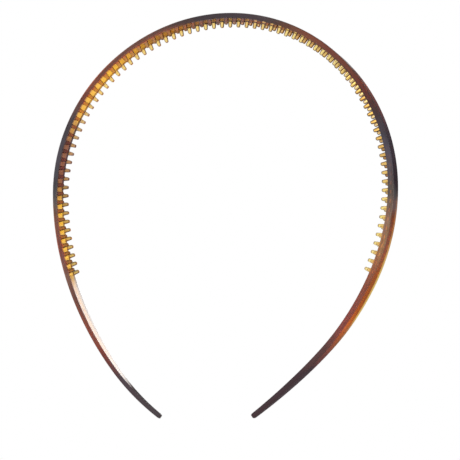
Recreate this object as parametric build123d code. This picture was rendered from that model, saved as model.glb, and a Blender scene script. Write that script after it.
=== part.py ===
from build123d import *
from itertools import accumulate
import math
import os

# A toothed hair band (Alice band), injection moulded in one shot of translucent tortoiseshell plastic.
# It is modelled lying on one edge: the arch is drawn in the XY plane, with its crown towards +Y and its
# leg tips towards -Y, and the band's width stands along Z. The moulding is divided where it flexes and
# where its section changes: a crown, two arms that spring outwards, and two smooth legs. The comb teeth
# are rows of tapered pegs that seat on the inner face, one row along each edge of the band.
# The origin is the middle of the arch's extents, on the edge that the band lies on.

# Driving dimensions, mm
BAND_WIDTH = 6.1
CROWN_THICKNESS = 1.9
ARM_END_THICKNESS = 1.6
LEG_TIP_THICKNESS = 1.5
LEG_TIP_WIDTH = 1.4
OUTER_EDGE_RADIUS = 0.65
LEG_EDGE_BREAK = 0.42
INNER_EDGE_BREAK = 0.2

# The outer curve is a chain of tangent arcs, each (radius, arc length), from the crown's middle outwards.
# The two arms relax a little unevenly as the moulding cools, so each side has its own radii.
CROWN_ARC = (63.0, 50.0)
LEFT_ARCS = [CROWN_ARC, (59.2, 50.0), (103.2, 40.0), (114.7, 53.9)]
RIGHT_ARCS = [CROWN_ARC, (65.2, 50.0), (74.7, 40.0), (116.9, 53.9)]
LEFT = -1
RIGHT = 1

# Comb teeth: numbered outwards from the one in the middle of the crown
TOOTH_PITCH = 3.222
LAST_CROWN_TOOTH = 15
LAST_ARM_TOOTH = 40
TOOTH_LENGTH = 2.15
TOOTH_ROOT_WIDTH = 1.5
TOOTH_TIP_WIDTH = 0.95
TOOTH_TIP_FLAT = 0.45
TOOTH_TIP_RISE = 0.28
TOOTH_ROOT_DEPTH = 1.25
TOOTH_TIP_DEPTH = 0.85
TOOTH_SEAT_DEPTH = 0.3
ROW_INSET = 0.83

CROWN_END, SHOULDER_END, ARM_END, LEG_END = accumulate(length for _, length in RIGHT_ARCS)
NOSE_INSET = 0.5  # the leg's round nose is cut this far short of the end of its outer curve
TOUCHING = 0.05  # an edge whose middle is this near to a given spot is the edge meant


def thickness(distance):
    """Band thickness at an arc length from the crown's middle: full at the crown, less down the sides."""
    if distance <= CROWN_END:
        return CROWN_THICKNESS
    if distance <= ARM_END:
        share = (distance - CROWN_END) / (ARM_END - CROWN_END)
        return CROWN_THICKNESS + share * (ARM_END_THICKNESS - CROWN_THICKNESS)
    share = (distance - ARM_END) / (LEG_END - ARM_END)
    return ARM_END_THICKNESS + share * (LEG_TIP_THICKNESS - ARM_END_THICKNESS)


def on_outer_curve(side, distance):
    """Point of the outer curve at an arc length from the crown's middle, and the normal into the arch."""
    heading = 0.0
    point = Vector(0, 0, 0)
    for radius, length in LEFT_ARCS if side == LEFT else RIGHT_ARCS:
        step = min(distance, length)
        turned = heading + step / radius
        run = radius * (math.sin(turned) - math.sin(heading))
        rise = radius * (math.cos(turned) - math.cos(heading))
        point += Vector(side * run, rise, 0)
        heading = turned
        distance -= step
        if distance <= 0:
            break
    return point, Vector(-side * math.sin(heading), -math.cos(heading), 0)


def face_point(side, distance, inner):
    """Point of the band's outer or inner face at an arc length from the crown's middle."""
    point, normal = on_outer_curve(side, distance)
    return point + normal * thickness(distance) if inner else point


def face_arcs(side, breaks, inner):
    """Arcs of the outer or inner face down one side, one arc between each two of the given arc lengths."""
    arcs = []
    for start, end in zip(breaks, breaks[1:]):
        marks = [start, (start + end) / 2, end]
        arcs.append(ThreePointArc(*[face_point(side, mark, inner) for mark in marks]))
    return arcs


def crown_arc(inner):
    """The arc of the outer or inner face that spans the crown from side to side."""
    ends = [face_point(side, CROWN_END, inner) for side in (LEFT, RIGHT)]
    return [ThreePointArc(ends[0], face_point(RIGHT, 0, inner), ends[1])]


def edges_at(solid, spots):
    """Edges of a solid whose middles lie at the given spots."""
    return [edge for edge in solid.edges() if min((edge @ 0.5 - spot).length for spot in spots) < TOUCHING]


def full_width_band(outer, inner):
    """Solid of the band's full width between outer and inner face arcs that run the same way."""
    ends = [Line(outer[0] @ 0, inner[0] @ 0), Line(outer[-1] @ 1, inner[-1] @ 1)]
    return extrude(make_face(Wire(outer + inner + ends)), amount=BAND_WIDTH, dir=(0, 0, 1))


def rounded_band(outer, inner):
    """Full-width band whose outer corners are well rounded and whose inner corners are just broken."""
    band = full_width_band(outer, inner)
    for arcs, finish, size in ((outer, fillet, OUTER_EDGE_RADIUS), (inner, chamfer, INNER_EDGE_BREAK)):
        spots = [arc @ 0.5 + Vector(0, 0, level) for arc in arcs for level in (0, BAND_WIDTH)]
        band = finish(edges_at(band, spots), size)
    return band


def arm_band(side):
    """The toothed arm below the crown: two tangent arcs that thin towards the leg."""
    breaks = [CROWN_END, SHOULDER_END, ARM_END]
    return rounded_band(face_arcs(side, breaks, inner=False), face_arcs(side, breaks, inner=True))


def leg_envelope(root, tip):
    """Block that narrows a leg from both edges of the band, along long tangent arcs, to a round nose."""
    half = BAND_WIDTH / 2
    nose = LEG_TIP_WIDTH / 2
    length = (tip - root).length - NOSE_INSET
    flank_end = length - nose
    flanks = [TangentArc((0, s * half), (flank_end, s * nose), tangent=(1, 0)) for s in (1, -1)]
    round_nose = ThreePointArc((flank_end, nose), (length, 0), (flank_end, -nose))
    back = Polyline((0, half), (-half, half), (-half, -half), (0, -half))
    profile = make_face([*flanks, round_nose, *back.edges()])
    along = (tip - root).normalized()
    plane = Plane(origin=root + Vector(0, 0, half), x_dir=along, z_dir=along.cross(Vector(0, 0, 1)))
    return extrude(plane * profile, amount=BAND_WIDTH * 2, both=True)


def leg(side):
    """The smooth leg: one arc that tapers in width and thickness to a round tip, with broken corners."""
    faces = [face_arcs(side, [ARM_END, LEG_END], inner) for inner in (False, True)]
    root, tip = [face_point(side, distance, inner=False) for distance in (ARM_END, LEG_END)]
    solid = full_width_band(*faces) & leg_envelope(root, tip)
    inner_face, outer_face = solid.faces().sort_by(SortBy.AREA)[-2:]
    for face, size in ((outer_face, LEG_EDGE_BREAK), (inner_face, INNER_EDGE_BREAK)):
        spots = [edge @ 0.5 for edge in face.edges()]
        spots = [spot for spot in spots if (spot - root).length > BAND_WIDTH]
        solid = chamfer(edges_at(solid, spots), size)
    return solid


def tapered(root_size, tip_size, height):
    """Half of a tooth's width or depth at a height over the band, with the same draft from root to tip."""
    return (root_size + (tip_size - root_size) * height / TOOTH_LENGTH) / 2


def tooth():
    """One comb tooth along +Z, tapered both ways to a blunted tip. Its root runs into the band's face."""
    shoulder = TOOTH_LENGTH - TOOTH_TIP_RISE
    at_root = tapered(TOOTH_ROOT_WIDTH, TOOTH_TIP_WIDTH, -TOOTH_SEAT_DEPTH)
    at_shoulder = tapered(TOOTH_ROOT_WIDTH, TOOTH_TIP_WIDTH, shoulder)
    at_tip = TOOTH_TIP_FLAT / 2
    outline = Polyline((-at_root, -TOOTH_SEAT_DEPTH), (at_root, -TOOTH_SEAT_DEPTH), (at_shoulder, shoulder),
                       (at_tip, TOOTH_LENGTH), (-at_tip, TOOTH_LENGTH), (-at_shoulder, shoulder), close=True)
    front = extrude(Plane.XZ * make_face(outline), amount=TOOTH_ROOT_DEPTH, both=True)
    low = tapered(TOOTH_ROOT_DEPTH, TOOTH_TIP_DEPTH, -TOOTH_SEAT_DEPTH)
    high = tapered(TOOTH_ROOT_DEPTH, TOOTH_TIP_DEPTH, TOOTH_LENGTH)
    wedge = Polyline((-low, -TOOTH_SEAT_DEPTH), (low, -TOOTH_SEAT_DEPTH), (high, TOOTH_LENGTH),
                     (-high, TOOTH_LENGTH), close=True)
    return front & extrude(Plane.YZ * make_face(wedge), amount=TOOTH_ROOT_WIDTH, both=True)


def tooth_row(places, height, band):
    """Teeth at the given (side, number) places and height, each trimmed to seat face to face on the band."""
    peg = tooth()
    row = []
    for side, number in places:
        distance = number * TOOTH_PITCH
        point, normal = on_outer_curve(side, distance)
        seat = point + normal * thickness(distance) + Vector(0, 0, height)
        row.append(Plane(origin=seat, x_dir=normal.cross(Vector(0, 0, 1)), z_dir=normal) * peg - band)
    return Compound(row)


def toothed_section(name, band, places):
    """A band section with its two rows of teeth, as nodes by name."""
    return {
        f"{name}_band": band,
        f"{name}_front_teeth": tooth_row(places, BAND_WIDTH - ROW_INSET, band),
        f"{name}_back_teeth": tooth_row(places, ROW_INSET, band),
    }


def head_band():
    """All the nodes of the hair band by name, with the origin under the middle of the arch."""
    crown_places = [(LEFT, number) for number in range(LAST_CROWN_TOOTH, 0, -1)]
    crown_places += [(RIGHT, number) for number in range(LAST_CROWN_TOOTH + 1)]
    crown = rounded_band(crown_arc(inner=False), crown_arc(inner=True))
    nodes = toothed_section("crown", crown, crown_places)
    for name, side in (("left", LEFT), ("right", RIGHT)):
        arm_places = [(side, number) for number in range(LAST_CROWN_TOOTH + 1, LAST_ARM_TOOTH + 1)]
        nodes |= toothed_section(f"{name}_arm", arm_band(side), arm_places)
        nodes[f"{name}_leg"] = leg(side)
    middle = Compound([solid for name, solid in nodes.items() if "teeth" not in name]).bounding_box().center()
    centred = Location((-middle.X, -middle.Y, 0))
    return {name: centred * solid for name, solid in nodes.items()}


os.makedirs("parts", exist_ok=True)
for name, solid in head_band().items():
    export_step(solid, f"parts/{name}.step")
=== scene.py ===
"""A toothed hair band, injection moulded in one shot of translucent tortoiseshell plastic.

The band and its comb teeth are one moulding. It is modelled here as it would lie unrolled: a straight bar
along X with its teeth along one face, which a curve then bends to the arch. Two halves meet at the crown.
Lengths are in millimetres until the helper mm() turns them to the frame's metres.
"""
import logging
import math
from dataclasses import dataclass, field
from enum import Enum

import bpy
from mathutils import Matrix, Vector


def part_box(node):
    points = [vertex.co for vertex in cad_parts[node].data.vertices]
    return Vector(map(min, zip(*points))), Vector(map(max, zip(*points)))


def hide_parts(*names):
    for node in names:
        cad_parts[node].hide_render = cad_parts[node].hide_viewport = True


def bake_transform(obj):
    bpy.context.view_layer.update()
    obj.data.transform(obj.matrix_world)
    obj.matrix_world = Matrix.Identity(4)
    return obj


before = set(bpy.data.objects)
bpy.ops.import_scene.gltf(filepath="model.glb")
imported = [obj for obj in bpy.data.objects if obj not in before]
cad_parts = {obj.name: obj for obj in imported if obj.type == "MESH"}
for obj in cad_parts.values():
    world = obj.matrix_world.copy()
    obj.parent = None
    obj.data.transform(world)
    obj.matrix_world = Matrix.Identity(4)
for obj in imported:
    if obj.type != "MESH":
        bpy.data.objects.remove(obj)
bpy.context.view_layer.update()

log = logging.getLogger("hair_band")


class Side(Enum):
    """Which way a half of the band runs from the crown's middle, as the sign of X."""

    LEFT = -1
    RIGHT = 1


class Row(Enum):
    """The edge of the band that a row of teeth follows: the far edge lies on the floor."""

    FAR = 0
    NEAR = 1


def mm(length: float) -> float:
    """Metres of a length in millimetres."""
    return length / 1000.0


def linear(hex_colour: str) -> tuple[float, float, float, float]:
    """Turn an sRGB hex colour to linear light.

    Args:
        hex_colour: Six hex digits, red first.

    Returns:
        Linear red, green, blue and an alpha of 1.
    """
    parts = [int(hex_colour[i:i + 2], 16) / 255.0 for i in (0, 2, 4)]
    bent = [p / 12.92 if p <= 0.04045 else ((p + 0.055) / 1.055) ** 2.4 for p in parts]
    return (bent[0], bent[1], bent[2], 1.0)


def add_node(tree: bpy.types.NodeTree, kind: str, settings: dict | None = None,
             links: dict | None = None) -> bpy.types.Node:
    """Add a shader node with its settings and its incoming links.

    Args:
        tree: The node tree it goes into.
        kind: The node's Blender type name.
        settings: Node properties by name, and default values of inputs by socket name or number.
        links: The output socket that feeds each input, by socket name or number.

    Returns:
        The new node.
    """
    node = tree.nodes.new(kind)
    for name, value in (settings or {}).items():
        if isinstance(name, str) and hasattr(node, name):
            setattr(node, name, value)
        else:
            node.inputs[name].default_value = value
    for name, source in (links or {}).items():
        tree.links.new(source, node.inputs[name])
    return node


def clear_selection() -> None:
    """Leave edit mode and deselect every object."""
    if bpy.context.object and bpy.context.object.mode != "OBJECT":
        bpy.ops.object.mode_set(mode="OBJECT")
    bpy.ops.object.select_all(action="DESELECT")


def pick(piece: bpy.types.Object) -> None:
    """Make a piece the only selected and the active object.

    Args:
        piece: The piece to work on next.
    """
    clear_selection()
    piece.select_set(True)
    bpy.context.view_layer.objects.active = piece


def select_nothing_in(piece: bpy.types.Object, mode: str) -> None:
    """Clear every vertex, edge and face selection of a piece, and set what edit mode selects by.

    Args:
        piece: The piece, which is left in object mode.
        mode: VERT, EDGE or FACE.
    """
    pick(piece)
    bpy.ops.object.mode_set(mode="EDIT")
    bpy.ops.mesh.select_mode(type=mode)
    bpy.ops.mesh.select_all(action="DESELECT")
    bpy.ops.object.mode_set(mode="OBJECT")


def copy_of(piece: bpy.types.Object) -> bpy.types.Object:
    """Copy a piece into the scene, with a mesh of its own.

    Args:
        piece: The piece to copy.

    Returns:
        The copy.
    """
    twin = piece.copy()
    twin.data = piece.data.copy()
    bpy.context.scene.collection.objects.link(twin)
    return twin


@dataclass(frozen=True)
class Arch:
    """The arch's outer curve: tangent arcs, each (radius, arc length), from the crown's middle outwards."""

    apex: tuple[float, float]
    crown_arc: tuple[float, float] = (63.0, 50.0)
    left_arcs: tuple[tuple[float, float], ...] = ((59.2, 50.0), (98.0, 20.0), (107.0, 20.0), (126.0, 28.0),
                                                  (87.5, 25.3))
    right_arcs: tuple[tuple[float, float], ...] = ((65.2, 50.0), (74.7, 28.0), (97.0, 16.0), (86.0, 18.0),
                                                   (165.0, 12.0), (220.0, 21.3))
    steps_per_arc: int = 96

    def arcs(self, side: Side) -> tuple[tuple[float, float], ...]:
        """All the arcs down one side, the crown's half arc first."""
        return (self.crown_arc,) + (self.left_arcs if side is Side.LEFT else self.right_arcs)

    def length(self, side: Side) -> float:
        """Arc length from the crown's middle to the end of one leg."""
        return sum(run for _, run in self.arcs(side))

    def place(self, side: Side, distance: float) -> tuple[Vector, Vector]:
        """Find a place on the outer curve.

        Args:
            side: The side of the crown it lies on.
            distance: Arc length from the crown's middle; a negative one lies just past it.

        Returns:
            The point, and the unit heading down that side, both in the arch's plane.
        """
        x, y = self.apex
        turned = 0.0
        for radius, run in self.arcs(side):
            step = min(distance, run)
            after = turned + step / radius
            x += side.value * radius * (math.sin(after) - math.sin(turned))
            y += radius * (math.cos(after) - math.cos(turned))
            turned = after
            distance -= step
            if distance <= 0:
                break
        return Vector((x, y, 0.0)), Vector((side.value * math.cos(turned), -math.sin(turned), 0.0))

    def guide(self, side: Side, start: float) -> bpy.types.Object:
        """Draw the curve that bends one straight half.

        Args:
            side: The half it is for.
            start: Arc length at which that half begins.

        Returns:
            A flat Bezier curve with one point at each end of each arc.
        """
        runs = list(self.arcs(side))
        runs[0] = (runs[0][0], runs[0][1] - start)
        curve = bpy.data.curves.new("guide", "CURVE")
        curve.dimensions = "2D"
        curve.resolution_u = self.steps_per_arc
        spline = curve.splines.new("BEZIER")
        spline.bezier_points.add(len(runs))
        marks = [start + sum(run for _, run in runs[:n]) for n in range(len(runs) + 1)]
        for number, (knot, mark) in enumerate(zip(spline.bezier_points, marks)):
            point, heading = self.place(side, mark)
            knot.co = point * mm(1)
            knot.handle_left_type = knot.handle_right_type = "FREE"
            before, after = runs[max(number - 1, 0)], runs[min(number, len(runs) - 1)]
            knot.handle_left = (point - heading * self.reach(*before)) * mm(1)
            knot.handle_right = (point + heading * self.reach(*after)) * mm(1)
        guide = bpy.data.objects.new("guide", curve)
        bpy.context.scene.collection.objects.link(guide)
        return guide

    @staticmethod
    def reach(radius: float, run: float) -> float:
        """Length of the Bezier handles that draw an arc of this radius and arc length."""
        return 4.0 / 3.0 * math.tan(run / radius / 4.0) * radius


@dataclass(frozen=True)
class Tooth:
    """One comb tooth: a flat-sided peg drafted both ways, with rounded corners and a round tip.

    Its root runs a little way into the band and swells there, as a moulded root does. The round tip is
    drawn in further across its width than across its depth.
    """

    root_width: float = 1.5
    root_depth: float = 1.24
    tip_width: float = 1.2
    tip_depth: float = 1.1
    length: float = 2.25
    seat: float = 0.35
    root_swell: float = 0.12
    swell_at_face: float = 0.7
    swell_left: float = 0.04
    corner: float = 0.3
    corner_rounds: int = 3
    tip_round: float = 0.44
    tip_turns: tuple[float, ...] = (22.0, 45.0, 66.0, 84.0)
    tip_draw: tuple[float, float] = (2.0, 1.2)

    def rings(self) -> list[tuple[float, float, float]]:
        """Work out the tooth's rings, from the buried root to the tip.

        Returns:
            Height over the band, width and depth of each ring.
        """
        buried = self.root_swell * 2
        at_face = buried * self.swell_at_face
        shoulder = self.length - self.tip_round
        root = ((-self.seat, buried), (0.0, at_face), (self.root_swell, self.swell_left))
        found = [(height, self.root_width + swell, self.root_depth + swell) for height, swell in root]
        found.append((shoulder, self.tip_width, self.tip_depth))
        for turn in self.tip_turns:
            lift = self.tip_round * math.sin(math.radians(turn))
            draw = self.tip_round * (1 - math.cos(math.radians(turn)))
            width = self.tip_width - self.tip_draw[0] * draw
            found.append((shoulder + lift, width, self.tip_depth - self.tip_draw[1] * draw))
        return found

    def model(self, inward: float) -> bpy.types.Object:
        """Model the tooth at the origin of the straight bar.

        Args:
            inward: The sign of Y in which the tooth stands.

        Returns:
            A closed mesh object in metres, whose root ring lies below the band's face.
        """
        clear_selection()
        first, *others = self.rings()
        height, width, depth = first
        bpy.ops.mesh.primitive_plane_add(size=mm(1), location=(0, inward * mm(height), 0),
                                         rotation=(math.pi / 2, 0, 0))
        peg = bpy.context.object
        peg.name = "tooth"
        bpy.ops.object.transform_apply(location=True, rotation=True, scale=True)
        bpy.ops.object.mode_set(mode="EDIT")
        bpy.ops.mesh.select_all(action="SELECT")
        bpy.ops.transform.resize(value=(width, 1, depth), center_override=(0, 0, 0))
        bpy.ops.mesh.bevel(offset=mm(self.corner), segments=self.corner_rounds, affect="VERTICES")
        for next_height, next_width, next_depth in others:
            rise = inward * mm(next_height - height)
            bpy.ops.mesh.extrude_region_move(TRANSFORM_OT_translate={"value": (0, rise, 0)})
            bpy.ops.transform.resize(value=(next_width / width, 1, next_depth / depth),
                                     center_override=(0, 0, 0))
            height, width, depth = next_height, next_width, next_depth
        bpy.ops.mesh.select_mode(type="VERT")
        bpy.ops.mesh.select_all(action="SELECT")
        bpy.ops.mesh.normals_make_consistent(inside=False)
        bpy.ops.object.mode_set(mode="OBJECT")
        return peg


@dataclass
class BandHalf:
    """Half of the hair band, from the seam at the crown to a leg's tip, with its two rows of teeth.

    Arc lengths are counted along the outer face from the crown's middle, down this half's own side. The
    seam is the arc length on the right at which both halves begin. The lean takes the far edge of the outer
    face outwards, from nothing at lean_span's first arc length to all of it between the next two, and back
    to nothing at the last. bend_start and bend_end, each a distance from the middle plane and a Y for a
    bend across the shoulder, are not used.
    """

    side: Side
    seam: float
    arch: Arch
    tooth: Tooth = field(default_factory=Tooth)
    width: float = 6.1
    crown_thickness: float = 1.9
    arm_end_thickness: float = 1.7
    tip_thickness: float = 1.65
    tip_width: float = 1.85
    near_outer_corner: float = 0.65
    far_outer_corner: float = 0.25
    inner_corner: float = 0.16
    pitch: float = 3.222
    last_tooth: int = 40
    row_inset: float = 0.83
    crown_end: float = 50.0
    arm_end: float = 140.0
    ring_step: float = 1.074
    leg_rings: int = 40
    nose_rings: int = 7
    nose_turn: float = 86.0
    nose_bluntness: float = 0.45
    corner_rounds: tuple[int, int, int] = (6, 4, 3)
    near_enough: float = 0.01
    crease_angle: float = 38.0
    lean: float = 0.0
    lean_span: tuple[float, float, float, float] = (50.0, 120.0, 132.0, 160.0)
    bend_start: tuple[float, float] = (10.0, 71.0)
    bend_end: tuple[float, float] = (62.0, 12.0)

    @property
    def start(self) -> float:
        """Arc length on this half's own side at which it begins."""
        return self.seam * self.side.value

    @property
    def leg_end(self) -> float:
        """Arc length of the leg's tip."""
        return self.arch.length(self.side)

    @property
    def inward(self) -> float:
        """The sign of Y that points into the arch from the straight bar's outer face."""
        return -self.side.value

    def thickness(self, distance: float) -> float:
        """Find the band's thickness: full at the crown, less down the sides.

        Args:
            distance: Arc length from the crown's middle.

        Returns:
            The thickness there.
        """
        if distance <= self.crown_end:
            return self.crown_thickness
        if distance <= self.arm_end:
            share = (distance - self.crown_end) / (self.arm_end - self.crown_end)
            return self.crown_thickness + share * (self.arm_end_thickness - self.crown_thickness)
        share = (distance - self.arm_end) / (self.leg_end - self.arm_end)
        return self.arm_end_thickness + share * (self.tip_thickness - self.arm_end_thickness)

    def half_width(self, distance: float) -> float:
        """Find half of the band's width, where each flank of the leg is one long arc, tangent to the edge.

        Args:
            distance: Arc length from the crown's middle.

        Returns:
            Half of the width there.
        """
        drop = (self.width - self.tip_width) / 2
        run = self.leg_end - self.tip_width / 2 - self.arm_end
        radius = (run * run + drop * drop) / (2 * drop)
        past = min(max(distance - self.arm_end, 0.0), run)
        return self.width / 2 - (radius - math.sqrt(radius * radius - past * past))

    def across(self, distance: float) -> Vector:
        """Centre of the outer face of the straight bar at an arc length, in metres."""
        return Vector((mm(distance - self.start), 0.0, mm(self.width / 2)))

    def section(self) -> bpy.types.Object:
        """Model the bar's first slice at the seam, with its long edges rounded.

        Returns:
            The slice, which starts the bar.
        """
        clear_selection()
        step, thick, wide = mm(self.ring_step), mm(self.crown_thickness), mm(self.width)
        bpy.ops.mesh.primitive_cube_add(size=1, location=(step / 2, self.inward * thick / 2, wide / 2))
        bar = bpy.context.object
        bar.name = f"{self.side.name.lower()}_half"
        bar.scale = (step, thick, wide)
        bpy.ops.object.transform_apply(location=True, rotation=True, scale=True)
        near_rounds, far_rounds, inner_rounds = self.corner_rounds
        for outer, near, size, rounds in ((True, True, self.near_outer_corner, near_rounds),
                                          (True, False, self.far_outer_corner, far_rounds),
                                          (False, True, self.inner_corner, inner_rounds),
                                          (False, False, self.inner_corner, inner_rounds)):
            select_nothing_in(bar, "EDGE")
            for edge in bar.data.edges:
                ends = [bar.data.vertices[i].co for i in edge.vertices]
                lengthwise = abs(ends[0].x - ends[1].x) > step / 2
                at_edge = abs(ends[0].z - (wide if near else 0.0)) < mm(self.near_enough)
                on_face = abs(abs(ends[0].y) - (0.0 if outer else thick)) < mm(self.near_enough)
                edge.select = lengthwise and at_edge and on_face
            bpy.ops.object.mode_set(mode="EDIT")
            bpy.ops.mesh.bevel(offset=mm(size), segments=rounds, profile=0.5, affect="EDGES")
        bpy.ops.object.mode_set(mode="OBJECT")
        return bar

    def select_end(self, bar: bpy.types.Object, reach: float) -> None:
        """Select the bar's end face and go into edit mode.

        Args:
            bar: The bar.
            reach: The end face's X, in metres.
        """
        select_nothing_in(bar, "FACE")
        for face in bar.data.polygons:
            face.select = face.normal.x > 0.9 and abs(face.center.x - reach) < mm(self.near_enough)
        bpy.ops.object.mode_set(mode="EDIT")

    def lengthen(self, here: float, there: float) -> None:
        """Extrude the selected end face along the bar and thin it to the thickness there.

        Args:
            here: Arc length of the end face.
            there: Arc length to take it to.
        """
        move = (mm(there - here), 0, 0)
        bpy.ops.mesh.extrude_region_move(TRANSFORM_OT_translate={"value": move})
        thin = self.thickness(there) / self.thickness(here)
        bpy.ops.transform.resize(value=(1, thin, 1), center_override=self.across(there))

    def narrow(self, bar: bpy.types.Object, here: float, there: float) -> None:
        """Draw both flanks of the end face towards its middle, which keeps the corners' radius.

        Args:
            bar: The bar in edit mode, with its end face selected.
            here: Arc length of the section before.
            there: Arc length of the end face.
        """
        draw = mm(self.half_width(here) - self.half_width(there))
        bpy.ops.object.mode_set(mode="OBJECT")
        middle = mm(self.width / 2)
        for vertex in bar.data.vertices:
            if vertex.select:
                vertex.co.z += -draw if vertex.co.z > middle else draw
        bpy.ops.object.mode_set(mode="EDIT")

    def bar(self) -> bpy.types.Object:
        """Model the straight bar: crown and arm, tapering leg and round nose.

        Returns:
            The closed bar, in object mode.
        """
        bar = self.section()
        self.select_end(bar, mm(self.ring_step))
        first = self.start + self.ring_step
        count = round((self.arm_end - first) / self.ring_step)
        here = first
        for number in range(1, count + 1):
            there = first + (self.arm_end - self.start - self.ring_step) * number / count
            self.lengthen(here, there)
            here = there
        flank_end = self.leg_end - self.tip_width / 2
        for number in range(1, self.leg_rings + 1):
            there = self.arm_end + (flank_end - self.arm_end) * number / self.leg_rings
            self.lengthen(here, there)
            self.narrow(bar, here, there)
            here = there
        self.close_nose(flank_end)
        bpy.ops.object.mode_set(mode="OBJECT")
        return bar

    def close_nose(self, flank_end: float) -> None:
        """Close the bar with a nose, a half circle across its width that is flattened less in thickness.

        Args:
            flank_end: Arc length at which the flanks end, where the end face is selected.
        """
        here, width = flank_end, 1.0
        depth = self.nose_bluntness + (1 - self.nose_bluntness) * width
        for number in range(1, self.nose_rings + 1):
            angle = math.radians(self.nose_turn) * number / self.nose_rings
            there = flank_end + self.tip_width / 2 * math.sin(angle)
            self.lengthen(here, there)
            next_width = math.cos(angle)
            next_depth = self.nose_bluntness + (1 - self.nose_bluntness) * next_width
            centre = self.across(there) + Vector((0, mm(self.thickness(there)) * self.inward / 2, 0))
            bpy.ops.transform.resize(value=(1, next_depth / depth, next_width / width),
                                     center_override=centre)
            here, width, depth = there, next_width, next_depth

    def lean_out(self, bar: bpy.types.Object) -> None:
        """Lean the outer face outwards towards the far edge, as the arm has sprung while it cooled.

        Args:
            bar: The straight bar, in object mode.
        """
        first, full, still, last = self.lean_span
        for vertex in bar.data.vertices:
            distance = vertex.co.x / mm(1) + self.start
            share = min(1.0, max(0.0, (distance - first) / (full - first)),
                        max(0.0, (last - distance) / (last - still)))
            outer = 1.0 - self.inward * vertex.co.y / mm(self.thickness(distance))
            low = 1.0 - vertex.co.z / mm(self.width)
            vertex.co.y -= self.inward * mm(self.lean) * share * outer * low

    def teeth(self) -> bpy.types.Object:
        """Copy the tooth to every place of both rows.

        Returns:
            All the teeth, joined to one object.
        """
        peg = self.tooth.model(self.inward)
        copies = []
        first = 0 if self.start < 0 else 1
        for row in Row:
            height = self.row_inset if row is Row.FAR else self.width - self.row_inset
            for number in range(first, self.last_tooth + 1):
                distance = number * self.pitch
                twin = copy_of(peg)
                sink = self.inward * mm(self.thickness(distance))
                twin.data.transform(Matrix.Translation((mm(distance - self.start), sink, mm(height))))
                copies.append(twin)
        bpy.data.objects.remove(peg)
        clear_selection()
        for twin in copies:
            twin.select_set(True)
        bpy.context.view_layer.objects.active = copies[0]
        bpy.ops.object.join()
        return bpy.context.object

    def fuse(self, bar: bpy.types.Object, teeth: bpy.types.Object) -> None:
        """Unite the bar and its teeth to one closed skin.

        Args:
            bar: The bar, which becomes the whole.
            teeth: The teeth, which are used up.
        """
        pick(bar)
        union = bar.modifiers.new("fused_teeth", "BOOLEAN")
        union.operation = "UNION"
        union.solver = "EXACT"
        union.object = teeth
        bpy.ops.object.modifier_apply(modifier=union.name)
        bpy.data.objects.remove(teeth)

    def record_stations(self, piece: bpy.types.Object) -> None:
        """Keep each point's place on the unrolled bar, in millimetres, for the finish to read.

        Args:
            piece: The straight half: its station runs along it, its rise up its width, proud is how far a
                point stands off the inner face, and each edge's measure is the distance from that edge.
        """
        places = [(v.co.x / mm(1) + self.start, v.co.z / mm(1), self.inward * v.co.y / mm(1))
                  for v in piece.data.vertices]
        records = {
            "station": [self.side.value * along for along, _, _ in places],
            "rise": [rise for _, rise, _ in places],
            "proud": [sink - self.thickness(along) for along, _, sink in places],
            "far_edge": [self.half_width(along) + rise - self.width / 2 for along, rise, _ in places],
            "near_edge": [self.half_width(along) - rise + self.width / 2 for along, rise, _ in places],
        }
        for name, values in records.items():
            piece.data.attributes.new(name, "FLOAT", "POINT").data.foreach_set("value", values)

    def bend(self, piece: bpy.types.Object) -> None:
        """Bend the straight half along the arch's outer curve.

        Args:
            piece: The straight half.
        """
        guide = self.arch.guide(self.side, self.start)
        pick(piece)
        bender = piece.modifiers.new("arch", "CURVE")
        bender.object = guide
        bender.deform_axis = "POS_X"
        bpy.ops.object.modifier_apply(modifier=bender.name)
        bpy.data.objects.remove(guide)

    def smooth(self, piece: bpy.types.Object) -> None:
        """Shade the rounded surfaces smooth and keep the flat faces flat.

        Args:
            piece: The bent half.
        """
        pick(piece)
        bpy.ops.object.shade_smooth_by_angle(angle=math.radians(self.crease_angle))
        flats = piece.modifiers.new("flat_faces", "WEIGHTED_NORMAL")
        flats.keep_sharp = True
        bpy.ops.object.modifier_apply(modifier=flats.name)

    def build(self) -> bpy.types.Object:
        """Model the whole half: bar, teeth, bend and shading.

        Returns:
            The finished mesh object, without a material.
        """
        piece = self.bar()
        self.lean_out(piece)
        self.fuse(piece, self.teeth())
        self.record_stations(piece)
        self.bend(piece)
        self.smooth(piece)
        return piece

    def dress(self, piece: bpy.types.Object, plastic: bpy.types.Material) -> None:
        """Give the half its material and hide the frame's nodes that it stands for.

        Args:
            piece: The finished half.
            plastic: The material of the whole band.
        """
        piece.data.materials.clear()
        piece.data.materials.append(plastic)
        arm = f"{self.side.name.lower()}_arm"
        nodes = [f"{arm}_band", f"{arm}_front_teeth", f"{arm}_back_teeth", f"{self.side.name.lower()}_leg"]
        if self.side is Side.LEFT:
            nodes += ["crown_band", "crown_front_teeth", "crown_back_teeth"]
        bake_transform(piece)
        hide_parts(*nodes)


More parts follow.
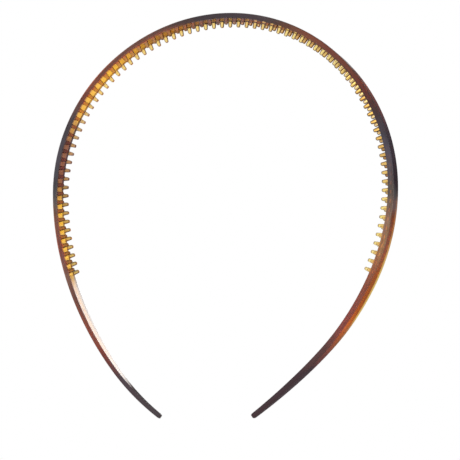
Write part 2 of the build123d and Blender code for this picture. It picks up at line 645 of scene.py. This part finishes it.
@dataclass(frozen=True)
class Streaks:
    """Pigment along one part of the section, from leg to leg; the far-edge layer is a painted glow instead.

    Each stop is an arc length in mm, negative on the left, an sRGB hex colour, and how clear the plastic is
    there, from 0 for solid pigment to 1 for clear.
    """

    stops: tuple[tuple[float, str, float], ...]

    def lay(self, tree: bpy.types.NodeTree, along: bpy.types.NodeSocket,
            reach: float) -> tuple[bpy.types.NodeSocket, bpy.types.NodeSocket]:
        """Lay the streaks out along the band.

        Args:
            tree: The material's node tree.
            along: Arc length as a share, 0 at minus the reach and 1 at plus the reach.
            reach: Arc length in millimetres at which that share is 1.

        Returns:
            The sockets for the colour and for how clear the plastic is.
        """
        node = add_node(tree, "ShaderNodeValToRGB", links={"Fac": along})
        elements = node.color_ramp.elements
        while len(elements) < len(self.stops):
            elements.new(1.0)
        for element, (distance, colour, clear) in zip(elements, self.stops):
            element.position = (distance / reach + 1) / 2
            element.color = (*linear(colour)[:3], clear)
        return node.outputs["Color"], node.outputs["Alpha"]


@dataclass(frozen=True)
class TortoiseshellPlastic:
    """Injection-moulded clear thermoplastic, amber right through, with darker pigment run into it.

    The amber is in the body of the plastic, so that a thick stretch is deeper than a thin one. The pigment
    lies in streaks and patches that differ between the band's rims, its walls and its two rows of teeth. A
    further layer along the far outer edge of the right leg is no pigment but a painted glow, golden where
    light comes through that edge, and the rims' darker tint, spread over the rounded near corners, paints
    the shade there. Each part but the rims lies within its marks: a measure's name, and the values at which
    it counts as outside and inside. The reach and the drift are in millimetres, and a grain is how often
    its noise repeats in each millimetre along, up and through the band.
    """

    ior: float = 1.49
    roughness: float = 0.04
    amber: str = "fdeb4f"
    amber_density: float = 1300.0
    reach: float = 200.0
    drift: float = 4.0
    drift_grain: tuple[float, float, float] = (0.16, 0.45, 0.6)
    wisps: float = 0.6
    wisp_grain: tuple[float, float, float] = (0.22, 1.1, 1.1)
    wisp_tones: tuple[tuple[float, str], ...] = ((0.34, "cfa79a"), (0.56, "ffffff"))
    # The walls begin 0.4 to 1.7 mm in from the near edge, so the rims' darker tint spreads over the rounded
    # near corners as painted shade there.
    walls_within: tuple[tuple[str, float, float], ...] = (("near_edge", 0.4, 1.7),
                                                          ("far_edge", 0.02, 0.35))
    # Where the painted glow lies: below a rise of 2.2 mm on the right leg, from station 99 to 162.
    painted_edge_glow_within: tuple[tuple[str, float, float], ...] = (("rise", 2.2, 1.3), ("station", 99, 108),
                                                        ("station", 162, 150))
    far_teeth_within: tuple[tuple[str, float, float], ...] = (("proud", -0.05, 0.25),)
    near_teeth_within: tuple[tuple[str, float, float], ...] = (("proud", -0.05, 0.25),
                                                               ("rise", 2.9, 3.2))
    rims: Streaks = Streaks((
        (-194, "4c4046", 0.2), (-174, "54424c", 0.25), (-163, "945450", 0.8), (-151, "a86850", 0.6),
        (-141, "825446", 0.35), (-131, "98705e", 0.35), (-120, "c07c74", 0.8), (-106, "b2aca4", 0.85),
        (-98, "4e5058", 0.4), (-88, "58505c", 0.25), (-74, "4a424a", 0.25), (-64, "a0746a", 0.85),
        (-50, "cb9576", 0.8), (-30, "b88c78", 0.8), (-19, "745448", 0.65), (-11, "403038", 0.25),
        (12, "4c3c44", 0.25), (22, "6c6260", 0.8), (33, "8c7060", 0.8), (43, "825e5a", 0.8),
        (52, "7a5644", 0.8), (61, "783e2a", 0.8), (70, "4c2a2c", 0.3), (80, "46404e", 0.25),
        (90, "6a6070", 0.3), (100, "8c7c70", 0.6), (110, "dcb898", 0.6), (119, "f4c480", 0.6),
        (132, "d07c54", 0.6), (150, "cc7668", 0.7), (161, "84504c", 0.6), (172, "44222c", 0.25)))
    walls: Streaks = Streaks((
        (-194, "241a20", 0.1), (-180, "241a20", 0.1), (-174, "b8a0ac", 0.93), (-134, "c4b0c0", 0.93),
        (-128, "fcf0ec", 0.94), (-104, "f4e4d8", 1), (-94, "a47cb0", 0.76), (-79, "8c6c98", 0.79),
        (-71, "e8d4c8", 1), (-50, "f3e6e0", 1), (-40, "d4bcb0", 1), (-30, "a88c78", 1), (-20, "b08880", 1),
        (-11, "a07c9c", 0.88), (4, "8c7c80", 0.92), (11, "e0b4e4", 0.66), (24, "ccaca4", 0.95),
        (48, "a05040", 0.65), (58, "f08c70", 0.58), (66, "b05450", 0.45), (73, "6c404c", 0.2),
        (80, "483848", 0.15), (92, "3c2a38", 0.15), (101, "200804", 0.05), (110, "803824", 0.4),
        (120, "b8581c", 0.5), (130, "cc7030", 0.5), (142, "d86c20", 0.5), (151, "f88838", 0.55),
        (160, "ac5c50", 0.35), (169, "4b3440", 0.15), (182, "5c464e", 0.15)))
    near_teeth: Streaks = Streaks((
        (-130, "ccb8b4", 1), (-110, "b49a98", 1), (-102, "aa8070", 1), (-95, "b86c58", 1),
        (-78, "b86c58", 1), (-71, "e0c8bc", 1), (-55, "dccad4", 1), (-33, "fff8f0", 0.94),
        (-22, "f8f0e8", 0.97), (-14, "fcd8cc", 0.95), (-6, "e8c8d8", 0.9), (8, "e8c0d0", 0.9),
        (16, "dcc8d0", 1), (32, "d0b4ac", 1), (44, "e4d4c8", 1), (56, "f8ecdc", 1), (64, "c4a894", 1),
        (77, "ccb498", 1), (90, "dcc4b8", 1), (101, "fcf8e4", 0.9), (110, "fffce4", 0.9),
        (130, "ffffec", 0.82)))
    far_teeth: Streaks = Streaks((
        (-130, "dccfc8", 1), (-110, "c5b1aa", 1), (-100, "ad999f", 0.97), (-86, "c4a4bc", 0.88),
        (-70, "dccce0", 0.88), (-55, "ece0e4", 0.97), (-10, "fff8f8", 0.93), (10, "e8d8d8", 0.98),
        (24, "fffcfc", 0.93), (40, "ffffff", 0.92), (56, "fcf4fc", 0.9), (71, "d8cce0", 0.88),
        (83, "988078", 1), (93, "9c7054", 1), (101, "ccb8b8", 1), (130, "fff4ec", 0.95)))
    # Painted glow, not pigment: golden yellow where the right leg's far outer edge lets light through.
    painted_edge_glow: Streaks = Streaks((
        (100, "c07c58", 0.35), (114, "e09c58", 0.2), (122, "ffcc70", 0.1), (129, "ffdc78", 0.05),
        (144, "ffd874", 0.05), (152, "e09c54", 0.3)))

    def material(self) -> bpy.types.Material:
        """Make the node material.

        Returns:
            The material, which reads the band's own measures from the mesh.
        """
        # The polished skin gives the eye sharp thin highlights. Light that gets through comes out amber,
        #         # and the pigment turns it smoky, red-brown or near black, in patches with soft and uneven
        #         ends. A
        #         # painted golden glow lies along the right leg's far outer edge, and the rims' tint paints
        #         the shade at
        #         # the rounded near corners.
        made = bpy.data.materials.new("moulded_tortoiseshell_plastic")
        made.use_nodes = True
        tree = made.node_tree
        tree.nodes.clear()
        place = {name: add_node(tree, "ShaderNodeAttribute", {"attribute_name": name}).outputs["Fac"]
                 for name in ("station", "rise", "proud", "near_edge", "far_edge")}
        where = add_node(tree, "ShaderNodeCombineXYZ", None,
                         {"X": place["station"], "Y": place["rise"], "Z": place["proud"]}).outputs["Vector"]
        along = self.drifted(tree, place["station"], where)
        colour, clear = self.rims.lay(tree, along, self.reach)
        colour = self.clouded(tree, colour, where)
        # Over the rims lie the walls, the painted glow of the right leg's far outer edge, and the two rows
        # of teeth.
        for streaks, marks in ((self.walls, self.walls_within),
                               (self.painted_edge_glow, self.painted_edge_glow_within),
                               (self.far_teeth, self.far_teeth_within),
                               (self.near_teeth, self.near_teeth_within)):
            share = self.within(tree, place, marks)
            layer = streaks.lay(tree, along, self.reach)
            colour, clear = (add_node(tree, "ShaderNodeMix", {"data_type": "RGBA"},
                                      {0: share, 6: below, 7: over}).outputs[2]
                             for below, over in zip((colour, clear), layer))
        shell = add_node(tree, "ShaderNodeBsdfPrincipled", {"Roughness": self.roughness, "IOR": self.ior},
                         {"Base Color": colour, "Transmission Weight": clear})
        amber = add_node(tree, "ShaderNodeVolumeAbsorption",
                         {"Color": linear(self.amber), "Density": self.amber_density})
        add_node(tree, "ShaderNodeOutputMaterial",
                 links={"Surface": shell.outputs["BSDF"], "Volume": amber.outputs["Volume"]})
        return made

    @staticmethod
    def within(tree: bpy.types.NodeTree, place: dict[str, bpy.types.NodeSocket],
               marks: tuple[tuple[str, float, float], ...]) -> bpy.types.NodeSocket:
        """Find how far a point lies within every one of some marks.

        Args:
            tree: The material's node tree.
            place: The band's own measures by name.
            marks: A measure's name, and the values at which it counts as outside and inside.

        Returns:
            The socket of a share from 0 to 1.
        """
        share = None
        for name, outside, inside in marks:
            span = {"interpolation_type": "SMOOTHSTEP", "From Min": outside, "From Max": inside}
            if inside < outside:
                span |= {"From Min": inside, "From Max": outside, "To Min": 1.0, "To Max": 0.0}
            own = add_node(tree, "ShaderNodeMapRange", span, {"Value": place[name]}).outputs["Result"]
            if share is None:
                share = own
            else:
                both = add_node(tree, "ShaderNodeMath", {"operation": "MULTIPLY"}, {0: share, 1: own})
                share = both.outputs["Value"]
        return share

    def drifted(self, tree: bpy.types.NodeTree, station: bpy.types.NodeSocket,
                where: bpy.types.NodeSocket) -> bpy.types.NodeSocket:
        """Shift arc length by a slow noise, so that a patch of pigment ends in an uneven front.

        Args:
            tree: The material's node tree.
            station: Arc length in millimetres.
            where: Place on the unrolled band in millimetres.

        Returns:
            The shifted arc length, as a share of the reach.
        """
        # The fronts waver over about 6 mm along the band and 2 mm up it. The noise keeps near its middle,
        # so its middle half is spread to the whole drift.
        stretch = add_node(tree, "ShaderNodeVectorMath", {"operation": "MULTIPLY", 1: self.drift_grain},
                           {0: where})
        noise = add_node(tree, "ShaderNodeTexNoise", {"Scale": 1.0, "Detail": 2.0, "Roughness": 0.5},
                         {"Vector": stretch.outputs["Vector"]})
        shift = add_node(tree, "ShaderNodeMapRange",
                         {"From Min": 0.25, "From Max": 0.75, "To Min": -self.drift, "To Max": self.drift},
                         {"Value": noise.outputs["Fac"]})
        moved = add_node(tree, "ShaderNodeMath", {"operation": "ADD"},
                         {0: station, 1: shift.outputs["Result"]})
        share = add_node(tree, "ShaderNodeMapRange", {"From Min": -self.reach, "From Max": self.reach},
                         {"Value": moved.outputs["Value"]})
        return share.outputs["Result"]

    def clouded(self, tree: bpy.types.NodeTree, pigment: bpy.types.NodeSocket,
                where: bpy.types.NodeSocket) -> bpy.types.NodeSocket:
        """Cloud the pigment with drawn-out wisps 4 or 5 mm long and 1 mm wide, as flow in the mould leaves.

        Args:
            tree: The material's node tree.
            pigment: The colour to cloud.
            where: Place on the unrolled band in millimetres.

        Returns:
            The clouded colour.
        """
        stretch = add_node(tree, "ShaderNodeVectorMath", {"operation": "MULTIPLY", 1: self.wisp_grain},
                           {0: where})
        noise = add_node(tree, "ShaderNodeTexNoise", {"Scale": 1.0, "Detail": 4.0, "Roughness": 0.6},
                         {"Vector": stretch.outputs["Vector"]})
        wisps = add_node(tree, "ShaderNodeValToRGB", links={"Fac": noise.outputs["Fac"]})
        for element, (position, tone) in zip(wisps.color_ramp.elements, self.wisp_tones):
            element.position = position
            element.color = linear(tone)
        node = add_node(tree, "ShaderNodeMix",
                        {"data_type": "RGBA", "blend_type": "MULTIPLY", 0: self.wisps},
                        {6: pigment, 7: wisps.outputs["Color"]})
        return node.outputs[2]


@dataclass(frozen=True)
class Panel:
    """One panel of the light table, or a card laid on it: a soft-edged rectangle.

    Lengths are in millimetres and the turn in degrees. A feather is how far each side fades either way.
    """

    centre: tuple[float, float]
    half_size: tuple[float, float]
    glow: float
    turn: float = 0.0
    feather: float = 15.0
    colour: str = "ffffff"

    def lay_over(self, tree: bpy.types.NodeTree, where: bpy.types.NodeSocket,
                 below: bpy.types.NodeSocket) -> bpy.types.NodeSocket:
        """Lay this panel over what is already on the floor.

        Args:
            tree: The floor's node tree.
            where: Position in metres.
            below: Light of the floor without this panel.

        Returns:
            The colour socket.
        """
        centre = (mm(self.centre[0]), mm(self.centre[1]), 0)
        placed = add_node(tree, "ShaderNodeMapping",
                          {"vector_type": "TEXTURE", "Location": centre,
                           "Rotation": (0, 0, math.radians(self.turn))}, {"Vector": where})
        off = add_node(tree, "ShaderNodeVectorMath", {"operation": "ABSOLUTE"},
                       {0: placed.outputs["Vector"]})
        axes = add_node(tree, "ShaderNodeSeparateXYZ", links={"Vector": off.outputs["Vector"]})
        across = [add_node(tree, "ShaderNodeMapRange",
                           {"interpolation_type": "SMOOTHSTEP", "From Min": mm(half - self.feather),
                            "From Max": mm(half + self.feather), "To Min": 1.0, "To Max": 0.0},
                           {"Value": axes.outputs[axis]}).outputs["Result"]
                  for axis, half in zip("XY", self.half_size)]
        within = add_node(tree, "ShaderNodeMath", {"operation": "MULTIPLY"}, dict(enumerate(across)))
        own = add_node(tree, "ShaderNodeVectorMath",
                       {"operation": "SCALE", 0: linear(self.colour)[:3], "Scale": self.glow})
        return add_node(tree, "ShaderNodeMix", {"data_type": "RGBA"},
                        {0: within.outputs["Value"], 6: below, 7: own.outputs["Vector"]}).outputs[2]


@dataclass(frozen=True)
class Studio:
    """The pale floor, the soft light and the camera.

    Lengths are in millimetres, and the camera's place is counted from the crown's outermost point.
    Directions are unit vectors in the frame's axes. The panels are laid from first to last, each over
    those before it. The plastic shows them in its mirror-like faces and through its clear stretches.
    """

    apex: tuple[float, float]
    camera_place: tuple[float, float, float] = (337.54, -235.65, 946.92)
    back: tuple[float, float, float] = (0.32854, -0.15661, 0.93143)
    up: tuple[float, float, float] = (0.00586, 0.98528, 0.17082)
    lens: float = 228.2
    sensor_width: float = 36.0
    nearest: float = 10.0
    furthest: float = 20000.0
    drop: float = 550.0
    floor_size: float = 12000.0
    ring_radius: float = 1100.0
    ring_spread: float = 1.6
    ring_glow: float = 0.4
    far_glow: float = 0.75
    room_glow: float = 0.75
    box_size: float = 500.0
    box_distance: float = 750.0
    box_power: float = 0.1
    box_colour: str = "e8ecff"
    panels: tuple[Panel, ...] = (
        # dark cards: one for the inner wall near the crown, two for the right arm's outer wall, one for the
        # right leg's outer wall
        Panel(centre=(-80, -120), half_size=(190, 100), glow=0.15),
        Panel(centre=(110, 250), half_size=(175, 67), glow=0.08),
        Panel(centre=(215, 142), half_size=(60, 84), glow=0.08),
        Panel(centre=(95, -235), half_size=(110, 40), glow=0.12, turn=28),
        # bright panels behind the left teeth, the right teeth and the last of the right teeth
        Panel(centre=(-290, 215), half_size=(185, 165), glow=1.07),
        Panel(centre=(-35, 98), half_size=(80, 108), glow=1.07),
        Panel(centre=(-124, 48), half_size=(36, 60), glow=1.0, feather=10),
        Panel(centre=(32, -56), half_size=(56, 50), glow=1.5, feather=12),
        # bright panels behind the last of the left teeth and the gaps between the left teeth
        Panel(centre=(-272, 35), half_size=(35, 40), glow=1.0, feather=10),
        Panel(centre=(-285, 135), half_size=(42, 75), glow=1.4),
        # a bright strip for the left leg's inner wall, and a dark card for that leg's tip
        Panel(centre=(-14, 186), half_size=(66, 20), glow=2.6, turn=8, feather=12),
        Panel(centre=(-119, 130), half_size=(41, 13), glow=0.08, turn=42, feather=6),
        # a warm panel for the right leg's outer wall
        Panel(centre=(258, -75), half_size=(62, 140), glow=0.5, colour="ffb080"),
    )

    def floor(self) -> bpy.types.Object:
        """Lay a pale light table far below the band: panels lit from within, dimmer around, pale beyond.

        Returns:
            The floor.
        """
        clear_selection()
        bpy.ops.mesh.primitive_plane_add(size=mm(self.floor_size), location=(0, 0, -mm(self.drop)))
        floor = bpy.context.object
        floor.name = "floor"
        bpy.ops.object.transform_apply(location=True, rotation=True, scale=True)
        floor.data.materials.append(self.opal_acrylic())
        return floor

    def opal_acrylic(self) -> bpy.types.Material:
        """Make opal acrylic lit from below, seen plain white, whose light differs from panel to panel.

        Returns:
            The floor's material.
        """
        # A back-lit opal sheet gives the eye an even white without gloss, and the band its long highlights.
        made = bpy.data.materials.new("opal_acrylic_floor")
        made.use_nodes = True
        tree = made.node_tree
        tree.nodes.clear()
        where = add_node(tree, "ShaderNodeNewGeometry").outputs["Position"]
        off = add_node(tree, "ShaderNodeVectorMath", {"operation": "LENGTH"}, {0: where}).outputs["Value"]
        ring = {"interpolation_type": "SMOOTHSTEP", "From Min": mm(self.ring_radius),
                "From Max": mm(self.ring_radius * self.ring_spread), "To Min": self.ring_glow,
                "To Max": self.far_glow}
        glow = add_node(tree, "ShaderNodeMapRange", ring, {"Value": off}).outputs["Result"]
        for panel in self.panels:
            glow = panel.lay_over(tree, where, glow)
        seen = add_node(tree, "ShaderNodeLightPath").outputs["Is Camera Ray"]
        plain = add_node(tree, "ShaderNodeMix", {"data_type": "RGBA", 7: linear("ffffff")},
                         {0: seen, 6: glow})
        light = add_node(tree, "ShaderNodeEmission", {"Strength": 1.0}, {"Color": plain.outputs[2]})
        add_node(tree, "ShaderNodeOutputMaterial", links={"Surface": light.outputs["Emission"]})
        return made

    def light(self) -> None:
        """Light a pale room, seen plain white, with one soft box that the near rim mirrors."""
        scene = bpy.context.scene
        world = bpy.data.worlds.new("studio")
        world.use_nodes = True
        scene.world = world
        tree = world.node_tree
        seen = add_node(tree, "ShaderNodeLightPath").outputs["Is Camera Ray"]
        strength = add_node(tree, "ShaderNodeMapRange", {"To Min": self.room_glow, "To Max": 1.0},
                            {"Value": seen})
        sky = tree.nodes["Background"]
        sky.inputs["Color"].default_value = linear("ffffff")
        tree.links.new(strength.outputs["Result"], sky.inputs["Strength"])
        scene.view_settings.view_transform = "Standard"
        box = bpy.data.lights.new("soft_box", "AREA")
        box.shape = "SQUARE"
        box.size = mm(self.box_size)
        box.color = linear(self.box_colour)[:3]
        box.energy = self.box_power
        lamp = bpy.data.objects.new("soft_box", box)
        bpy.context.scene.collection.objects.link(lamp)
        mirror = Vector((-self.back[0], -self.back[1], self.back[2]))
        lamp.location = mirror * mm(self.box_distance)
        lamp.rotation_mode = "QUATERNION"
        lamp.rotation_quaternion = mirror.to_track_quat("Z", "Y")
        lamp.visible_camera = False

    def camera(self) -> None:
        """Set up a long lens that looks down on the lying band from its right and a little from below."""
        data = bpy.data.cameras.new("camera")
        data.lens = self.lens
        data.sensor_width = self.sensor_width
        data.clip_start, data.clip_end = mm(self.nearest), mm(self.furthest)
        camera = bpy.data.objects.new("camera", data)
        bpy.context.scene.collection.objects.link(camera)
        place = Vector((*self.apex, 0)) + Vector(self.camera_place)
        back = Vector(self.back).normalized()
        right = Vector(self.up).cross(back).normalized()
        turn = Matrix((right, back.cross(right), back)).transposed().to_4x4()
        camera.matrix_world = Matrix.Translation(place * mm(1)) @ turn
        bpy.context.scene.camera = camera


def main() -> None:
    """Build the studio and the two halves, and hide the frame's nodes that they stand for."""
    logging.basicConfig(level=logging.INFO)
    low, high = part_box("crown_band")
    apex = ((low[0] + high[0]) / 2 / mm(1), high[1] / mm(1))
    studio = Studio(apex)
    studio.floor()
    studio.light()
    studio.camera()
    plastic = TortoiseshellPlastic().material()
    arch = Arch(apex)
    # The halves meet midway between two teeth, so that the seam cuts none.
    seam = BandHalf.pitch / 2
    halves = (BandHalf(side=Side.LEFT, seam=seam, arch=arch),
              BandHalf(side=Side.RIGHT, seam=seam, arch=arch, lean=0.38))
    for half in halves:
        piece = half.build()
        half.dress(piece, plastic)
        log.info("%s: %d faces", piece.name, len(piece.data.polygons))


if __name__ == "__main__":
    main()
